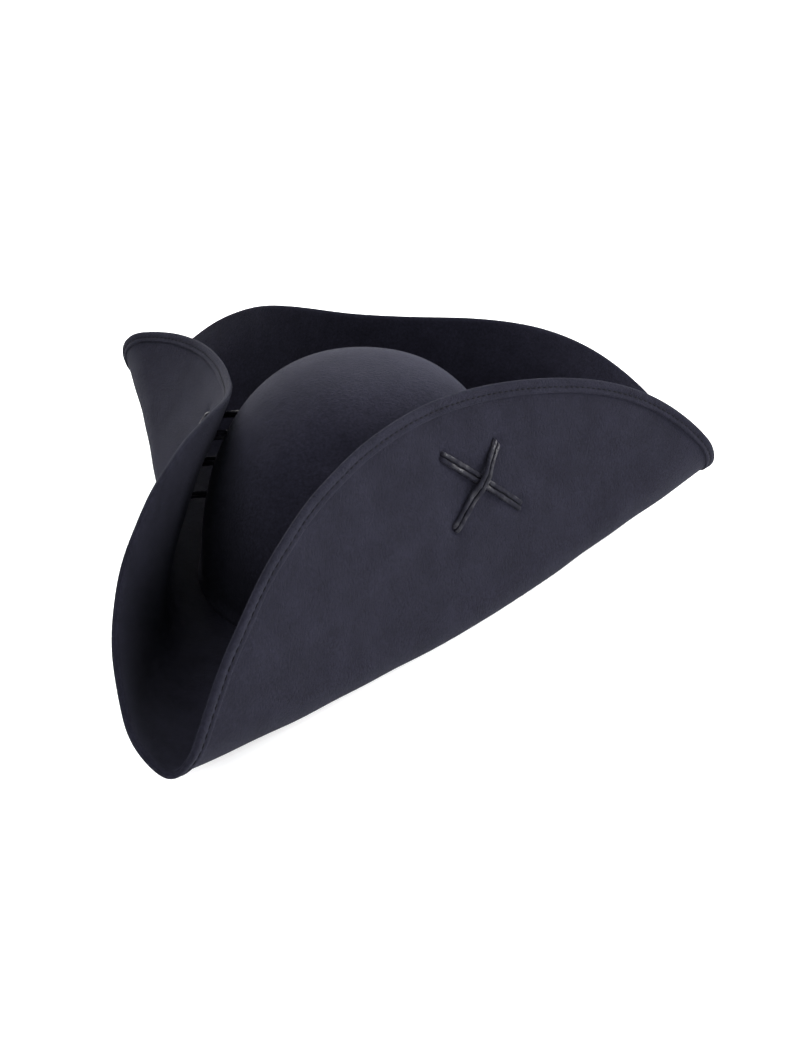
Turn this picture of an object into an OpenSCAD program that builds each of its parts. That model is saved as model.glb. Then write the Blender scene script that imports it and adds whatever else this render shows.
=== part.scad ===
// Pirate hat: a felt tricorn with a domed crown, a wide brim folded up on three
// sides, a wired and stitched hem, and a crossed lace that ties each side flap
// to the crown. Millimetres. The front tip points to -Y, +Z is up, and the
// middle of the head opening stands on z = 0 at the origin.
//
// A point of the brim is named by where it lies on the flat felt blank, (x, y),
// before folding. brim_point() folds it, so the brim, its hem, the wire, the
// stitches and the laces all follow the same folds.

/* [Crown] */
// Half the crown's outer width, side to side
crown_half_w = 90; // [75:1:108]
// Half the crown's outer length, front to back
crown_half_l = 102; // [85:1:122.4]
// Height of the crown above the brim
crown_h = 124.5; // [103.5:0.5:149.5]
// Fullness of the crown's profile: 2 is an egg, 3 is boxy
crown_full = 2.35; // [2:0.05:2.6]
// Thickness of the felt
felt_t = 2; // [1.6:0.1:2.4]

/* [Brim blank] */
// Width of the flat brim outside the crown, at the front tip
brim_front = 158; // [132:0.5:190]
// The same, 30 degrees towards the right side
brim_right_1 = 141.5; // [118:0.5:170]
// The same, 60 degrees round: the middle of the right flap
brim_right_2 = 123.5; // [103:0.5:148]
// The same, 90 degrees round: the right side
brim_right_3 = 127; // [106:0.5:152]
// The same, 120 degrees round: the right rear tip
brim_right_4 = 140.5; // [117:0.5:168]
// The same, 150 degrees round
brim_right_5 = 124.5; // [104:0.5:149]
// Width at the middle of the back flap
brim_back = 102; // [85:0.5:122]
// Width 150 degrees round towards the left
brim_left_5 = 124.5; // [104:0.5:149]
// The same, 120 degrees round: the left rear tip
brim_left_4 = 166.5; // [139:0.5:200]
// The same, 90 degrees round: the left side
brim_left_3 = 133; // [111:0.5:160]
// The same, 60 degrees round: the middle of the left flap
brim_left_2 = 121.5; // [101:0.5:146]
// The same, 30 degrees towards the left side
brim_left_1 = 143.5; // [120:0.5:172]
// How much the brim rises for each millimetre out from the crown
brim_dish = 0.13; // [0.05:0.01:0.16]

/* [Right flap] */
// Heading of the flap from the front
right_heading = 65.5; // [58:0.5:72]
// Distance from the crown's inner face to where the fold starts
right_fold_gap = 1.3; // [1:0.1:8]
// Bend radius at the middle of the fold
right_bend = 12; // [10:0.5:14.5]
// Distance from the flap to the crown, at the lace that ties it there
right_tie = 7.7; // [6.4:0.1:12]

/* [Left flap] */
// Heading of the flap from the front, the other way
left_heading = 64.5; // [58:0.5:72]
// Distance from the crown's inner face to where the fold starts
left_fold_gap = 12.7; // [10:0.1:16]
// Bend radius at the middle of the fold
left_bend = 9.5; // [8:0.5:11.5]
// Distance from the flap to the crown, at the lace that ties it there
left_tie = 14.3; // [11.9:0.1:20]

/* [Back flap] */
// Heading of the flap from the front
back_heading = 182.5; // [177:0.5:185]
// Distance from the crown's inner face to where the fold starts
back_fold_gap = 3.5; // [3:0.1:12]
// Bend radius at the middle of the fold
back_bend = 5.5; // [4.5:0.5:7]
// Angle that the flap is turned up, from flat
back_lift = 85.5; // [71:0.5:92]

/* [Hem] */
// Width of the turned hem on the outer side
hem_w = 7.5; // [6.2:0.1:9]
// Thickness of the turned felt
hem_t = 1.1; // [0.9:0.1:1.4]
// Diameter of the wire in the hem
wire_d = 1.2; // [1:0.1:1.5]
// Thickness of the sleeve that joins the ends of the wire
sleeve_t = 0.16; // [0.12:0.02:0.2]
// Length of the sleeve
sleeve_len = 18; // [14:1:22]
// Distance from the edge to the row of stitches
stitch_in = 4.6; // [3.8:0.1:5.6]
// Number of stitches round the hem
hem_stitches = 144; // [96:12:180]

/* [Head band] */
// Height of the sweatband
band_h = 30; // [24:1:36]
// Thickness of the sweatband
band_t = 1; // [0.8:0.1:1.2]
// Space between the sweatband's top edge and the crown's felt
band_gap = 0.7; // [0.6:0.1:1.4]
// Height of the tape that joins the crown to the brim
tape_h = 12; // [9:1:15]
// Thickness of the tape
tape_t = 0.8; // [0.6:0.1:1]
// Number of stitches round the sweatband
band_stitches = 72; // [48:12:96]
// Width of the blank care label
label_w = 26; // [20:1:32]
// Height of the blank care label
label_h = 22; // [16:1:24]

/* [Laces] */
// Diameter of the lace
lace_d = 2.6; // [2.1:0.1:3.2]
// Room that a punched hole leaves round its two strands
lace_hole_room = 1.8; // [1.4:0.1:2.4]
// Height of the right lace's middle on its flap, as a share of the lower of crown and flap
right_lace_up = 0.63; // [0.52:0.01:0.66]
// How far the right lace sits behind the middle of its flap
right_lace_back = 1; // [-10:1:20]
// Height of the left lace's middle on its flap, as a share of the lower of crown and flap
left_lace_up = 0.57; // [0.48:0.01:0.62]
// How far the left lace sits behind the middle of its flap
left_lace_back = 31; // [20:1:34]

/* [Hidden] */

felt_colour = [0.10, 0.10, 0.13];
edge_colour = [0.13, 0.13, 0.16];
band_colour = [0.05, 0.05, 0.06];
lace_colour = [0.03, 0.03, 0.04];
thread_colour = [0.06, 0.06, 0.08];
steel_colour = [0.60, 0.61, 0.63];
label_colour = [0.92, 0.92, 0.90];

fit_gap = 0.1;                       // clearance between sewn pieces
tape_gap = 0.2;                      // between the tape's top edge and the crown's felt
label_t = 0.4;                       // thickness of the care label
columns = 96;                        // steps round the hat
brim_rows = 13;                      // steps across the brim
crown_rows = 13;                     // steps up the crown
fold_half = 200;                     // half length that the folds' variation is written for
fold_merge = 1.95;                   // how two folds share a corner
probe = 0.5;                         // step used to measure a surface's direction

// ---- plain helpers ----
function unit(v) = v / norm(v);
function mix(a, b, s) = a + (b - a) * s;
function total(v) = v * [for (i = v) 1];
function heading(a) = [sin(a), -cos(a)];

// Radius of the oval with half axes a (across) and b (front to back), at heading psi
function oval(psi, a, b) = 1 / sqrt(pow(sin(psi) / a, 2) + pow(cos(psi) / b, 2));

// ---- the folded brim ----
BRIM_W = [brim_front, brim_right_1, brim_right_2, brim_right_3, brim_right_4, brim_right_5,
          brim_back, brim_left_5, brim_left_4, brim_left_3, brim_left_2, brim_left_1];
REACH = [for (j = [0:11]) BRIM_W[j] + oval(30 * j, crown_half_w, crown_half_l)];

// Reach of the flat blank: a smooth curve through twelve reaches, 30 degrees apart
function share(x) = abs(sin(x / 2)) < 1e-6 ? 1 : sin(6 * x) / (12 * tan(x / 2));
function reach(psi) = total([for (j = [0:11]) REACH[j] * share(psi - 30 * j)]);

// What one flap does to a point u out along its heading and t along its fold:
// how far it draws the point in, and how far it lifts it
function bent(u, t, f) =
    let (q = t / fold_half,
         start = f[2] + f[3] * q * q,
         bend = max(f[4] + f[5] * q + f[6] * q * q, 3),
         lift = max(f[7] + f[8] * q + f[9] * q * q, 5),
         s = max(u - start, 0),
         turn = min(s / bend * 180 / PI, lift),
         rest = max(s - bend * lift * PI / 180, 0))
    [bend * sin(turn) + rest * cos(lift) - s, bend * (1 - cos(turn)) + rest * sin(lift)];

// Rise of the dished brim at flat point p, and p as one flap moves it
function rise(p) = brim_dish * max(norm(p) - oval(atan2(p[0], -p[1]), crown_half_w, crown_half_l), 0);
function moved(p, f) = bent(p * heading(f[0]), p * heading(f[0] + 90) * f[1], f);

// The middle of the felt at flat point p
function brim_point(p) =
    let (moves = [for (f = FLAPS) moved(p, f)],
         drawn = [for (i = [0:2]) moves[i][0] * heading(FLAPS[i][0])],
         lifted = total([for (m = moves) pow(max(m[1], 0), fold_merge)]))
    [p[0] + drawn[0][0] + drawn[1][0] + drawn[2][0],
     p[1] + drawn[0][1] + drawn[1][1] + drawn[2][1],
     felt_t / 2 + rise(p) + pow(lifted, 1 / fold_merge)];

// Direction square to the felt at p, towards the crown's side
function brim_normal(p) =
    unit(cross(brim_point(p + [probe, 0]) - brim_point(p - [probe, 0]),
               brim_point(p + [0, probe]) - brim_point(p - [0, probe])));

// A point off the felt's middle by n, towards the crown's side
function brim_off(p, n) = brim_point(p) + n * brim_normal(p);
function polar(psi, rho) = rho * heading(psi);

// ---- the crown ----
// Outer wall at heading psi and rise w (0 at the brim, 90 at the top), drawn in by d
function crown_point(psi, w, d) =
    let (e = 2 / crown_full, a = crown_half_w - d, b = crown_half_l - d)
    concat(oval(psi, a, b) * pow(cos(w), e) * heading(psi), felt_t / 2 + (crown_h - d) * pow(sin(w), e));

// Rise w at which the crown's wall is at height z, and how far its inner face has
// drawn in from the foot by then, front and back
function rise_at(z) = asin(pow((z - felt_t / 2) / crown_h, crown_full / 2));
function drawn_in(z) = (crown_half_l - felt_t)
    * (1 - pow(1 - pow((z - felt_t / 2) / (crown_h - felt_t), crown_full), 1 / crown_full));

// Under 1 inside the crown's surface drawn in by d, over 1 outside it
function crown_level(p, d) =
    pow(pow(p[0] / (crown_half_w - d), 2) + pow(p[1] / (crown_half_l - d), 2), crown_full / 2)
    + pow(max(p[2] - felt_t / 2, 0) / (crown_h - d), crown_full);

// Where the line from p along v meets that surface, by halving the span [lo, hi]
function meet(p, v, d, lo, hi, left = 18) =
    left == 0 ? (lo + hi) / 2 :
    let (m = (lo + hi) / 2)
    crown_level(p + v * m, d) > 1 ? meet(p, v, d, m, hi, left - 1) : meet(p, v, d, lo, m, left - 1);

// Moves p out from or in to the crown's axis until it lies on that surface
function on_wall(p, d) =
    let (c = [0, 0, p[2] * 0.5], v = unit(p - c))
    c + v * meet(c + v * 160, -v, d, 0, 159) * -1 + v * 160;

// ---- the flaps ----
// Each flap: heading, direction along its fold, fold distance and its growth to
// the ends, bend radius with its slant and growth, lift with its slant and droop
function fold_at(a, gap) =
    norm([(crown_half_w - felt_t) * sin(a), (crown_half_l - felt_t) * cos(a)]) + gap;
function flap(a, way, gap, grow, bend, lift) = concat([a, way, fold_at(a, gap), grow], bend, lift);

// Flat point that lies out and along on flap f
function on_flap(f, out, along) = out * heading(f[0]) + along * f[1] * heading(f[0] + 90);

// Middle of a lace on flap f, as its distances out and along
function lace_at(f, up, back) = [f[2] + up * min(crown_h, reach(f[0]) - f[2]), back];

// The direction in which strands and punches go through flap f: level, square to its fold
function inward(f) = concat(-heading(f[0]), 0);

// Lift at which flap f comes to rest that far from the crown at its lace c, by halving [lo, hi]
function tied_lift(f, c, far, lo, hi, left = 16) =
    left == 0 ? (lo + hi) / 2 :
    let (m = (lo + hi) / 2, p = on_flap(f, c[0], c[1]), g = with_lift(f, m), s = moved(p, g),
         q = concat(p + s[0] * heading(f[0]), felt_t / 2 + rise(p) + s[1]))
    meet(q, inward(f), 0, 0, 90) > far
        ? tied_lift(f, c, far, m, hi, left - 1)
        : tied_lift(f, c, far, lo, m, left - 1);
function with_lift(f, a) = [for (i = [0:len(f) - 1]) i == 7 ? a : f[i]];
function tied(f, c, far) = with_lift(f, tied_lift(f, c, far, 70, 140));

RIGHT_LOOSE = flap(right_heading, 1, right_fold_gap, -1.5, [right_bend, 3, 10], [90, 5, -7.5]);
LEFT_LOOSE = flap(-left_heading, -1, left_fold_gap, -8.5, [left_bend, 0.5, 26.5], [90, 29.5, -12.5]);
RIGHT_LACE = lace_at(RIGHT_LOOSE, right_lace_up, right_lace_back);
LEFT_LACE = lace_at(LEFT_LOOSE, left_lace_up, left_lace_back);
RIGHT = tied(RIGHT_LOOSE, RIGHT_LACE, right_tie);
LEFT = tied(LEFT_LOOSE, LEFT_LACE, left_tie);
BACK = flap(back_heading, 1, back_fold_gap, 3.5, [back_bend, 0, 16.5], [back_lift, 4.5, -81]);
FLAPS = [RIGHT, LEFT, BACK];

// ---- solids from rings of points ----
// Triangles between n rings of k points; closed joins the last ring to the first
function skin(n, k, closed) =
    [for (i = [0:n - (closed ? 1 : 2)], j = [0:k - 1], h = [0, 1])
        let (a = i * k + j, b = i * k + (j + 1) % k,
             c = (i + 1) % n * k + (j + 1) % k, d = (i + 1) % n * k + j)
        h == 0 ? [a, c, b] : [a, d, c]];

// Ring that closes on itself round the hat
module hoop(rings) {
    polyhedron([for (r = rings) each r], skin(len(rings), len(rings[0]), true));
}

// Rod from its first ring to its last
module rod(rings) {
    n = len(rings);
    k = len(rings[0]);
    polyhedron([for (r = rings) each r],
               concat(skin(n, k, false),
                      [[for (j = [0:k - 1]) j]],
                      [[for (j = [k - 1:-1:0]) (n - 1) * k + j]]));
}

// Each corner of a path is cut back the same way along both its sides
function rounded(path, cut) =
    let (n = len(path))
    concat([path[0]],
           [for (i = [1:n - 2], s = [-1, 1]) let (to = path[i + s] - path[i])
               path[i] + unit(to) * min(cut, norm(to) * 0.4)],
           [path[n - 1]]);

// Rings of radius r square to a path, without twist
function tube(path, r, sides) =
    let (n = len(path),
         ahead = [for (i = [0:n - 1]) unit(path[min(i + 1, n - 1)] - path[max(i - 1, 0)])],
         first = unit(cross(ahead[0], abs(ahead[0][2]) < 0.9 ? [0, 0, 1] : [1, 0, 0])),
         across = [for (i = 0, v = first; i < n; i = i + 1,
                        v = i < n ? unit(v - ahead[i] * (v * ahead[i])) : v) v])
    [for (i = [0:n - 1]) let (up = cross(ahead[i], across[i]))
        [for (j = [0:sides - 1]) let (turn = j * 360 / sides)
            path[i] + r * (cos(turn) * across[i] + sin(turn) * up)]];

// Pipe between an outer and an inner set of rings
module pipe(outer, inner) {
    n = len(outer);
    k = len(outer[0]);
    wall = skin(n, k, false);
    m = n * k;
    last = m - k;
    polyhedron(concat([for (r = outer) each r], [for (r = inner) each r]), concat(
        wall,
        [for (t = wall) [t[0] + m, t[2] + m, t[1] + m]],
        [for (j = [0:k - 1], h = [0, 1]) let (b = (j + 1) % k) h == 0 ? [j, b, m + b] : [j, m + b, m + j]],
        [for (j = [0:k - 1], h = [0, 1]) let (b = (j + 1) % k)
            h == 0 ? [last + j, last + m + b, last + b] : [last + j, last + m + j, last + m + b]]));
}

// Ring of felt or band between two ovals that stand off the crown's wall by d and d + t
module oval_ring(d, t, h) {
    linear_extrude(h) polygon(concat(
        [for (i = [0:columns - 1]) let (psi = 360 * i / columns)
            oval(psi, crown_half_w - d, crown_half_l - d) * heading(psi)],
        [for (i = [0:columns - 1]) let (psi = 360 * i / columns)
            oval(psi, crown_half_w - d - t, crown_half_l - d - t) * heading(psi)]),
        [[for (i = [0:columns - 1]) i], [for (i = [0:columns - 1]) columns + i]]);
}

// ---- laces ----
// The four holes of a lace on its flap, as steps out and along from its middle:
// the under arm's two ends, then the over arm's two ends
ARM_HOLES = [[20, -24], [-20, 28], [15, 20], [-15, -26]];
pair_half = lace_d / 2 + 0.2;                    // half the spacing of the two strands of an arm
lace_off = felt_t / 2 + fit_gap + lace_d / 2;    // a strand lying on the felt, from its middle
lace_over = lace_off + lace_d + 0.5;             // a strand that crosses over another
wall_off = felt_t + 0.25 + lace_d / 2;           // a strand lying inside the crown, from its outer face
wall_over = wall_off + lace_d + 0.5;
crossing = 0.44;                                 // where the arms cross, as a share of the over arm
tail = 10;                                       // loose end past the knot

// Flat point of hole h of the lace at c = [out, along] on flap f, and of one of its strands
function hole_at(f, c, h) = on_flap(f, c[0] + ARM_HOLES[h][0], c[1] + ARM_HOLES[h][1]);
function strand_at(f, c, h, side) =
    let (first = h < 2 ? 0 : 2,
         arm = ARM_HOLES[first + 1] - ARM_HOLES[first],
         aside = unit([-arm[1], arm[0]]) * pair_half * side)
    on_flap(f, c[0] + ARM_HOLES[h][0] + aside[0], c[1] + ARM_HOLES[h][1] + aside[1]);

// Depth from the flap's felt at flat point p to the crown's wall, d in from its outer face
function depth_at(f, p, d) = meet(brim_point(p), inward(f), d, 0, 70);
function behind(f, p, depth) = brim_point(p) + inward(f) * depth;

// One strand of an arm across the outer face, from above hole h0 to above hole h1
function outer_run(f, c, h0, h1, side, over) =
    let (a = strand_at(f, c, h0, side), b = strand_at(f, c, h1, side))
    over ? [for (s = [[0, lace_off + 0.1], [crossing - 0.21, lace_off], [crossing - 0.08, lace_over],
                      [crossing + 0.08, lace_over], [crossing + 0.21, lace_off], [1, lace_off + 0.1]])
               brim_off(mix(a, b, s[0]), -s[1])]
         : [for (s = [0, 0.3, 0.7, 1]) brim_off(mix(a, b, s), -lace_off)];

// A run along the inside of the crown's wall, between two points there
function inner_run(a, b, over) =
    over ? [for (s = [[0.28, wall_off], [0.42, wall_over], [0.62, wall_over], [0.78, wall_off]])
               on_wall(mix(a, b, s[0]), s[1])]
         : [for (s = [0.25, 0.5, 0.75]) on_wall(mix(a, b, s), wall_off)];

// A whole lace, from one loose end to the other: out through the crown and the
// flap, twice over each arm, and back to its own start, where it is knotted
function lace_route(f, c) =
    let (at = function(h, side) let (p = strand_at(f, c, h, side)) behind(f, p, depth_at(f, p, wall_off)),
         into = function(h, side) let (p = strand_at(f, c, h, side), d = depth_at(f, p, 0))
             [at(h, side), behind(f, p, d - min(2, d / 4)), behind(f, p, min(3, d * 0.4))],
         out_of = function(h, side) let (q = into(h, side)) [q[2], q[1], q[0]],
         knot = knot_at(f, c, wall_off),
         ahead = unit(at(0, 1) - knot),
         away = unit(knot - mix(at(1, 1), at(2, 1), 0.5)),
         pass = function(h0, h1, side, over)
             concat(into(h0, side), outer_run(f, c, h0, h1, side, over), out_of(h1, side)))
    concat([on_wall(knot - ahead * tail + away * 7, wall_off), knot,
            on_wall(mix(knot, at(0, 1), 0.5), wall_off)],
           pass(0, 1, 1, false),
           inner_run(at(1, 1), at(0, -1), false),
           pass(0, 1, -1, false),
           inner_run(at(1, -1), at(2, -1), false),
           pass(2, 3, -1, true),
           inner_run(at(3, -1), at(2, 1), true),
           pass(2, 3, 1, true),
           [on_wall(mix(knot, at(3, 1), 0.5), wall_over), knot_at(f, c, wall_over + 0.5),
            on_wall(knot + ahead * tail + away * 7, wall_off)]);

// The knot's place, d in from the crown's outer face, halfway between two holes
function knot_at(f, c, d) =
    let (p = strand_at(f, c, 0, 1), q = strand_at(f, c, 3, 1))
    on_wall(mix(behind(f, p, depth_at(f, p, d)), behind(f, q, depth_at(f, q, d)), 0.5), d);

module lace(f, c) {
    rod(tube(rounded(lace_route(f, c), lace_d * 0.8), lace_d / 2, 8));
    translate(knot_at(f, c, (wall_off + wall_over) / 2 + 1)) sphere(d = lace_d * 2 + 2.6, $fn = 32);
}

// Punches for the four holes of a lace, through the flap and the crown
module lace_punches(f, c) {
    for (h = [0:3]) {
        p = hole_at(f, c, h);
        translate(behind(f, p, -6))
            rotate([0, 90, f[0] + 90])
                cylinder(d = lace_d * 2 + lace_hole_room, h = 14 + depth_at(f, p, 0), $fn = 48);
    }
}

// ---- the pieces ----
module crown_felt() {
    low = rise_at(felt_t + fit_gap);
    first = rise_at(tape_top);
    rises = concat([low], [for (i = [0:crown_rows - 2]) mix(first, 90, i / (crown_rows - 1))]);
    rings = [for (d = [0, felt_t]) [for (w = rises) [for (i = [0:columns - 1])
        let (q = crown_point(360 * i / columns, w, d)) w == low ? [q[0], q[1], felt_t + fit_gap] : q]]];
    outer = [for (r = rings[0]) each r];
    inner = [for (r = rings[1]) each r];
    n = len(outer);
    tops = [crown_point(0, 90, 0), crown_point(0, 90, felt_t)];
    wall = skin(crown_rows, columns, false);
    last = (crown_rows - 1) * columns;
    color(felt_colour) difference() {
        polyhedron(concat(outer, inner, tops), concat(
            wall,
            [for (t = wall) [t[0] + n, t[2] + n, t[1] + n]],
            [for (i = [0:columns - 1]) [last + i, 2 * n, last + (i + 1) % columns]],
            [for (i = [0:columns - 1]) [n + last + i, n + last + (i + 1) % columns, 2 * n + 1]],
            [for (i = [0:columns - 1]) [i, (i + 1) % columns, n + (i + 1) % columns]],
            [for (i = [0:columns - 1]) [i, n + (i + 1) % columns, n + i]]));
        lace_punches(RIGHT, RIGHT_LACE);
        lace_punches(LEFT, LEFT_LACE);
    }
}

module headline_tape() {
    d = felt_t + tape_gap + drawn_in(tape_top);
    color(band_colour) translate([0, 0, felt_t + fit_gap]) oval_ring(d, tape_t, tape_h);
}

// The hem's felt rolls over the wire and its sleeve, which lie in a channel. Places in
// its section are steps in from the edge and off the middle of the brim's felt.
half = felt_t / 2;
roll_t = 0.9;                                    // felt over the channel, pressed thin
sleeve_gap = 0.08;                               // between the wire and its sleeve
turn_gap = 0.2;                                  // between the turned felt and the brim's felt
channel = wire_d / 2 + sleeve_gap + sleeve_t + fit_gap;
wire_in = roll_t + channel;
wire_off = half - roll_t - channel;
hem_join = wire_in + channel + 0.42;             // here the hem's inner side meets the brim's felt
roll = roll_t + channel;
turned = -half - turn_gap;
HEM = [[hem_join, half], [wire_in, half], [wire_in - roll * 0.7, wire_off + roll * 0.7], [0, wire_off],
       [wire_in - roll * 0.7, wire_off - roll * 0.7], [wire_in, wire_off - roll],
       [stitch_in - 0.6, -half - hem_t - 0.35], [hem_w, -half - hem_t - 0.1], [hem_w, turned],
       [wire_in + channel + 0.1, turned], [wire_in + channel, min(turned - 0.05, wire_off - channel * 0.42)],
       [wire_in + channel * 0.42, wire_off - channel], [wire_in - channel * 0.42, wire_off - channel],
       [wire_in - channel, wire_off - channel * 0.42], [wire_in - channel, wire_off + channel * 0.42],
       [wire_in - channel * 0.42, wire_off + channel], [wire_in + channel * 0.42, wire_off + channel],
       [wire_in + channel, wire_off + channel * 0.42], [wire_in + channel, -half], [hem_join, -half]];

module brim_felt() {
    inset = band_in - fit_gap;
    color(felt_colour) difference() {
        hoop([for (i = [0:columns - 1])
            let (psi = 360 * i / columns,
                 near = oval(psi, crown_half_w - inset, crown_half_l - inset),
                 base = oval(psi, crown_half_w, crown_half_l),
                 under = reach(psi) - hem_w,
                 far = reach(psi) - hem_join - fit_gap,
                 rows = [for (k = [0:brim_rows]) mix(base, under, pow(k / brim_rows, 1.2))],
                 across = concat([near], rows, [far]))
            concat([for (r = across) brim_off(polar(psi, r), felt_t / 2)],
                   [for (k = [len(across) - 1:-1:0]) brim_off(polar(psi, across[k]), -felt_t / 2)])]);
        lace_punches(RIGHT, RIGHT_LACE);
        lace_punches(LEFT, LEFT_LACE);
    }
}

// A point of the hem at column i, d in from the edge and n off the middle of the felt,
// and the same at any heading, on the straight line between two columns
function hem_point(i, d, n) = let (psi = 360 * i / columns) brim_off(polar(psi, reach(psi) - d), n);
function on_hem(psi, d, n) =
    let (i = psi * columns / 360, k = floor(i)) mix(hem_point(k, d, n), hem_point(k + 1, d, n), i - k);

module hem_fold() {
    color(edge_colour) hoop([for (i = [0:columns - 1]) [for (q = HEM) hem_point(i, q[0], q[1])]]);
}

module brim_wire() {
    path = concat([on_hem(180.2, wire_in, wire_off)],
                  [for (i = [columns / 2 + 1:columns * 1.5 - 1]) hem_point(i, wire_in, wire_off)],
                  [on_hem(539.8, wire_in, wire_off)]);
    color(steel_colour) rod(tube(path, wire_d / 2, 6));
}

module wire_sleeve() {
    turn = sleeve_len / reach(180) * 180 / PI / 2;
    path = [for (psi = [180 - turn, 180, 180 + turn]) on_hem(psi, wire_in, wire_off)];
    bore = wire_d / 2 + sleeve_gap;
    color(steel_colour) pipe(tube(path, bore + sleeve_t, 12), tube(path, bore, 12));
}

// A stitch is a short flat block of thread
module stitch(middle, along, out, length, width, depth) {
    side = unit(cross(along, out)) * width / 2;
    rod([for (s = [-0.5, 0.5]) let (q = middle + unit(along) * length * s)
        [q + side, q - side, q - side + out * depth, q + side + out * depth]]);
}

module hem_stitching() {
    off = -half - hem_t - 0.36 - fit_gap;
    color(thread_colour) for (i = [0:hem_stitches - 1]) {
        psi = 360 * (i + 0.5) / hem_stitches;
        middle = on_hem(psi, stitch_in, off);
        along = on_hem(psi + 0.2, stitch_in, off) - on_hem(psi - 0.2, stitch_in, off);
        out = middle - on_hem(psi, stitch_in, 0);
        stitch(middle, along, unit(out), norm(along) * 900 / hem_stitches * 0.62, 0.7, 0.4);
    }
}

// The sweatband's outer face stands off the crown's outer face at the foot by this
band_in = felt_t + band_gap + drawn_in(band_h);
tape_top = felt_t + fit_gap + tape_h;

module sweatband() {
    color(band_colour) oval_ring(band_in, band_t, band_h);
}

module sweatband_stitching() {
    d = band_in + band_t + 0.15;
    color(thread_colour) for (i = [0:band_stitches - 1]) {
        psi = 360 * (i + 0.5) / band_stitches;
        ends = [for (s = [-0.6, 0.6]) oval(psi + s, crown_half_w - d, crown_half_l - d) * heading(psi + s)];
        along = concat(ends[1] - ends[0], 0);
        stitch(concat((ends[0] + ends[1]) / 2, 4), along, cross([0, 0, 1], unit(along)), 3.6, 0.6, 0.4);
    }
}

module care_label() {
    d = band_in + band_t + 0.8;
    turn = label_w / crown_half_w * 180 / PI / 2;
    steps = 8;
    arc = [for (i = [0:steps]) 180 + mix(-turn, turn, i / steps)];
    color(label_colour) translate([0, 0, 5]) linear_extrude(label_h) polygon(concat(
        [for (psi = arc) oval(psi, crown_half_w - d, crown_half_l - d) * heading(psi)],
        [for (i = [steps:-1:0]) let (psi = arc[i])
            oval(psi, crown_half_w - d - label_t, crown_half_l - d - label_t) * heading(psi)]));
}

module right_lace() {
    color(lace_colour) lace(RIGHT, RIGHT_LACE);
}

module left_lace() {
    color(lace_colour) lace(LEFT, LEFT_LACE);
}

crown_felt();
headline_tape();
brim_felt();
hem_fold();
brim_wire();
wire_sleeve();
hem_stitching();
sweatband();
sweatband_stitching();
care_label();
right_lace();
left_lace();
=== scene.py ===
"""Pirate hat: the looks of a felt tricorn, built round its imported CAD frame.

The flat felt blank is folded by the same rule as in the CAD source: a point of
the brim is named by where it lies on the flat blank, in millimetres, and
brim_mid() folds it. Meshes are built in millimetres and stored in metres.
"""

import math

import bpy
import numpy as np
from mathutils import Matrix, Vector


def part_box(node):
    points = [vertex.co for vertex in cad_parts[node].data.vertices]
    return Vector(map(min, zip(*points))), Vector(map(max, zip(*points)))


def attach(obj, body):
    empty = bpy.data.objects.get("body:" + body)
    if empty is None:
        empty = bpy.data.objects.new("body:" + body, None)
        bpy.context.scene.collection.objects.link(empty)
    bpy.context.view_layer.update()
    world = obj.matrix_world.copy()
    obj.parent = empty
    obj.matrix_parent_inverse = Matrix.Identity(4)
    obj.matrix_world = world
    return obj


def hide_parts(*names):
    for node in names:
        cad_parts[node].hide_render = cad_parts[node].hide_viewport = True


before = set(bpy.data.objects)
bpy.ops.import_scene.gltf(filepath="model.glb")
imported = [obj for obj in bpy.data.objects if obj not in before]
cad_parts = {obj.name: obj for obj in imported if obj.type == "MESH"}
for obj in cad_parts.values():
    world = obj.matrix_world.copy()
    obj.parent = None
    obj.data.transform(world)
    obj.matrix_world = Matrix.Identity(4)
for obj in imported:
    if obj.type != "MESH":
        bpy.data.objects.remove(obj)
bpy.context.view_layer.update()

MM = 0.001


def size_of(node):
    """Lowest and highest corner of a CAD node, in millimetres."""
    low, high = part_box(node)
    return np.array(low) / MM, np.array(high) / MM


# ---------------------------------------------------------------- driving sizes
crown_low, crown_high = size_of("crown_felt")
band_low, band_high = size_of("sweatband")
HALF_W = (crown_high[0] - crown_low[0]) / 2      # crown's half width, outside
HALF_L = (crown_high[1] - crown_low[1]) / 2      # crown's half length, outside
FELT = 2.0                                       # thickness of the felt
MID = FELT / 2
CROWN_H = crown_high[2] - MID                    # crown's height over the brim's middle
FULL = 2.35                                      # fullness of the crown's profile
DISH = 0.13                                      # rise of the brim per millimetre outwards
MERGE = 1.95                                     # how two folds share a corner
FOLD_HALF = 200.0                                # half length that the folds vary over

# width of the flat brim outside the crown every 30 degrees, from the front tip
# towards the right
BRIM_W = (158, 141.5, 123.5, 127, 140.5, 124.5, 102, 124.5, 166.5, 133, 121.5, 143.5)

# heading, direction along the fold, fold distance and its growth to the ends,
# bend radius with its slant and growth, lift with its slant and droop
RIGHT = (65.5, 1, 91.48, -1.5, 12, 3, 10, 108.95, 5, -7.5)
LEFT = (-64.5, -1, 103.04, -8.5, 9.5, 0.5, 26.5, 116.44, 29.5, -12.5)
BACK = (182.5, 1, 103.48, 3.5, 5.5, 0, 16.5, 85.5, 4.5, -81)
FLAPS = (RIGHT, LEFT, BACK)

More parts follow.
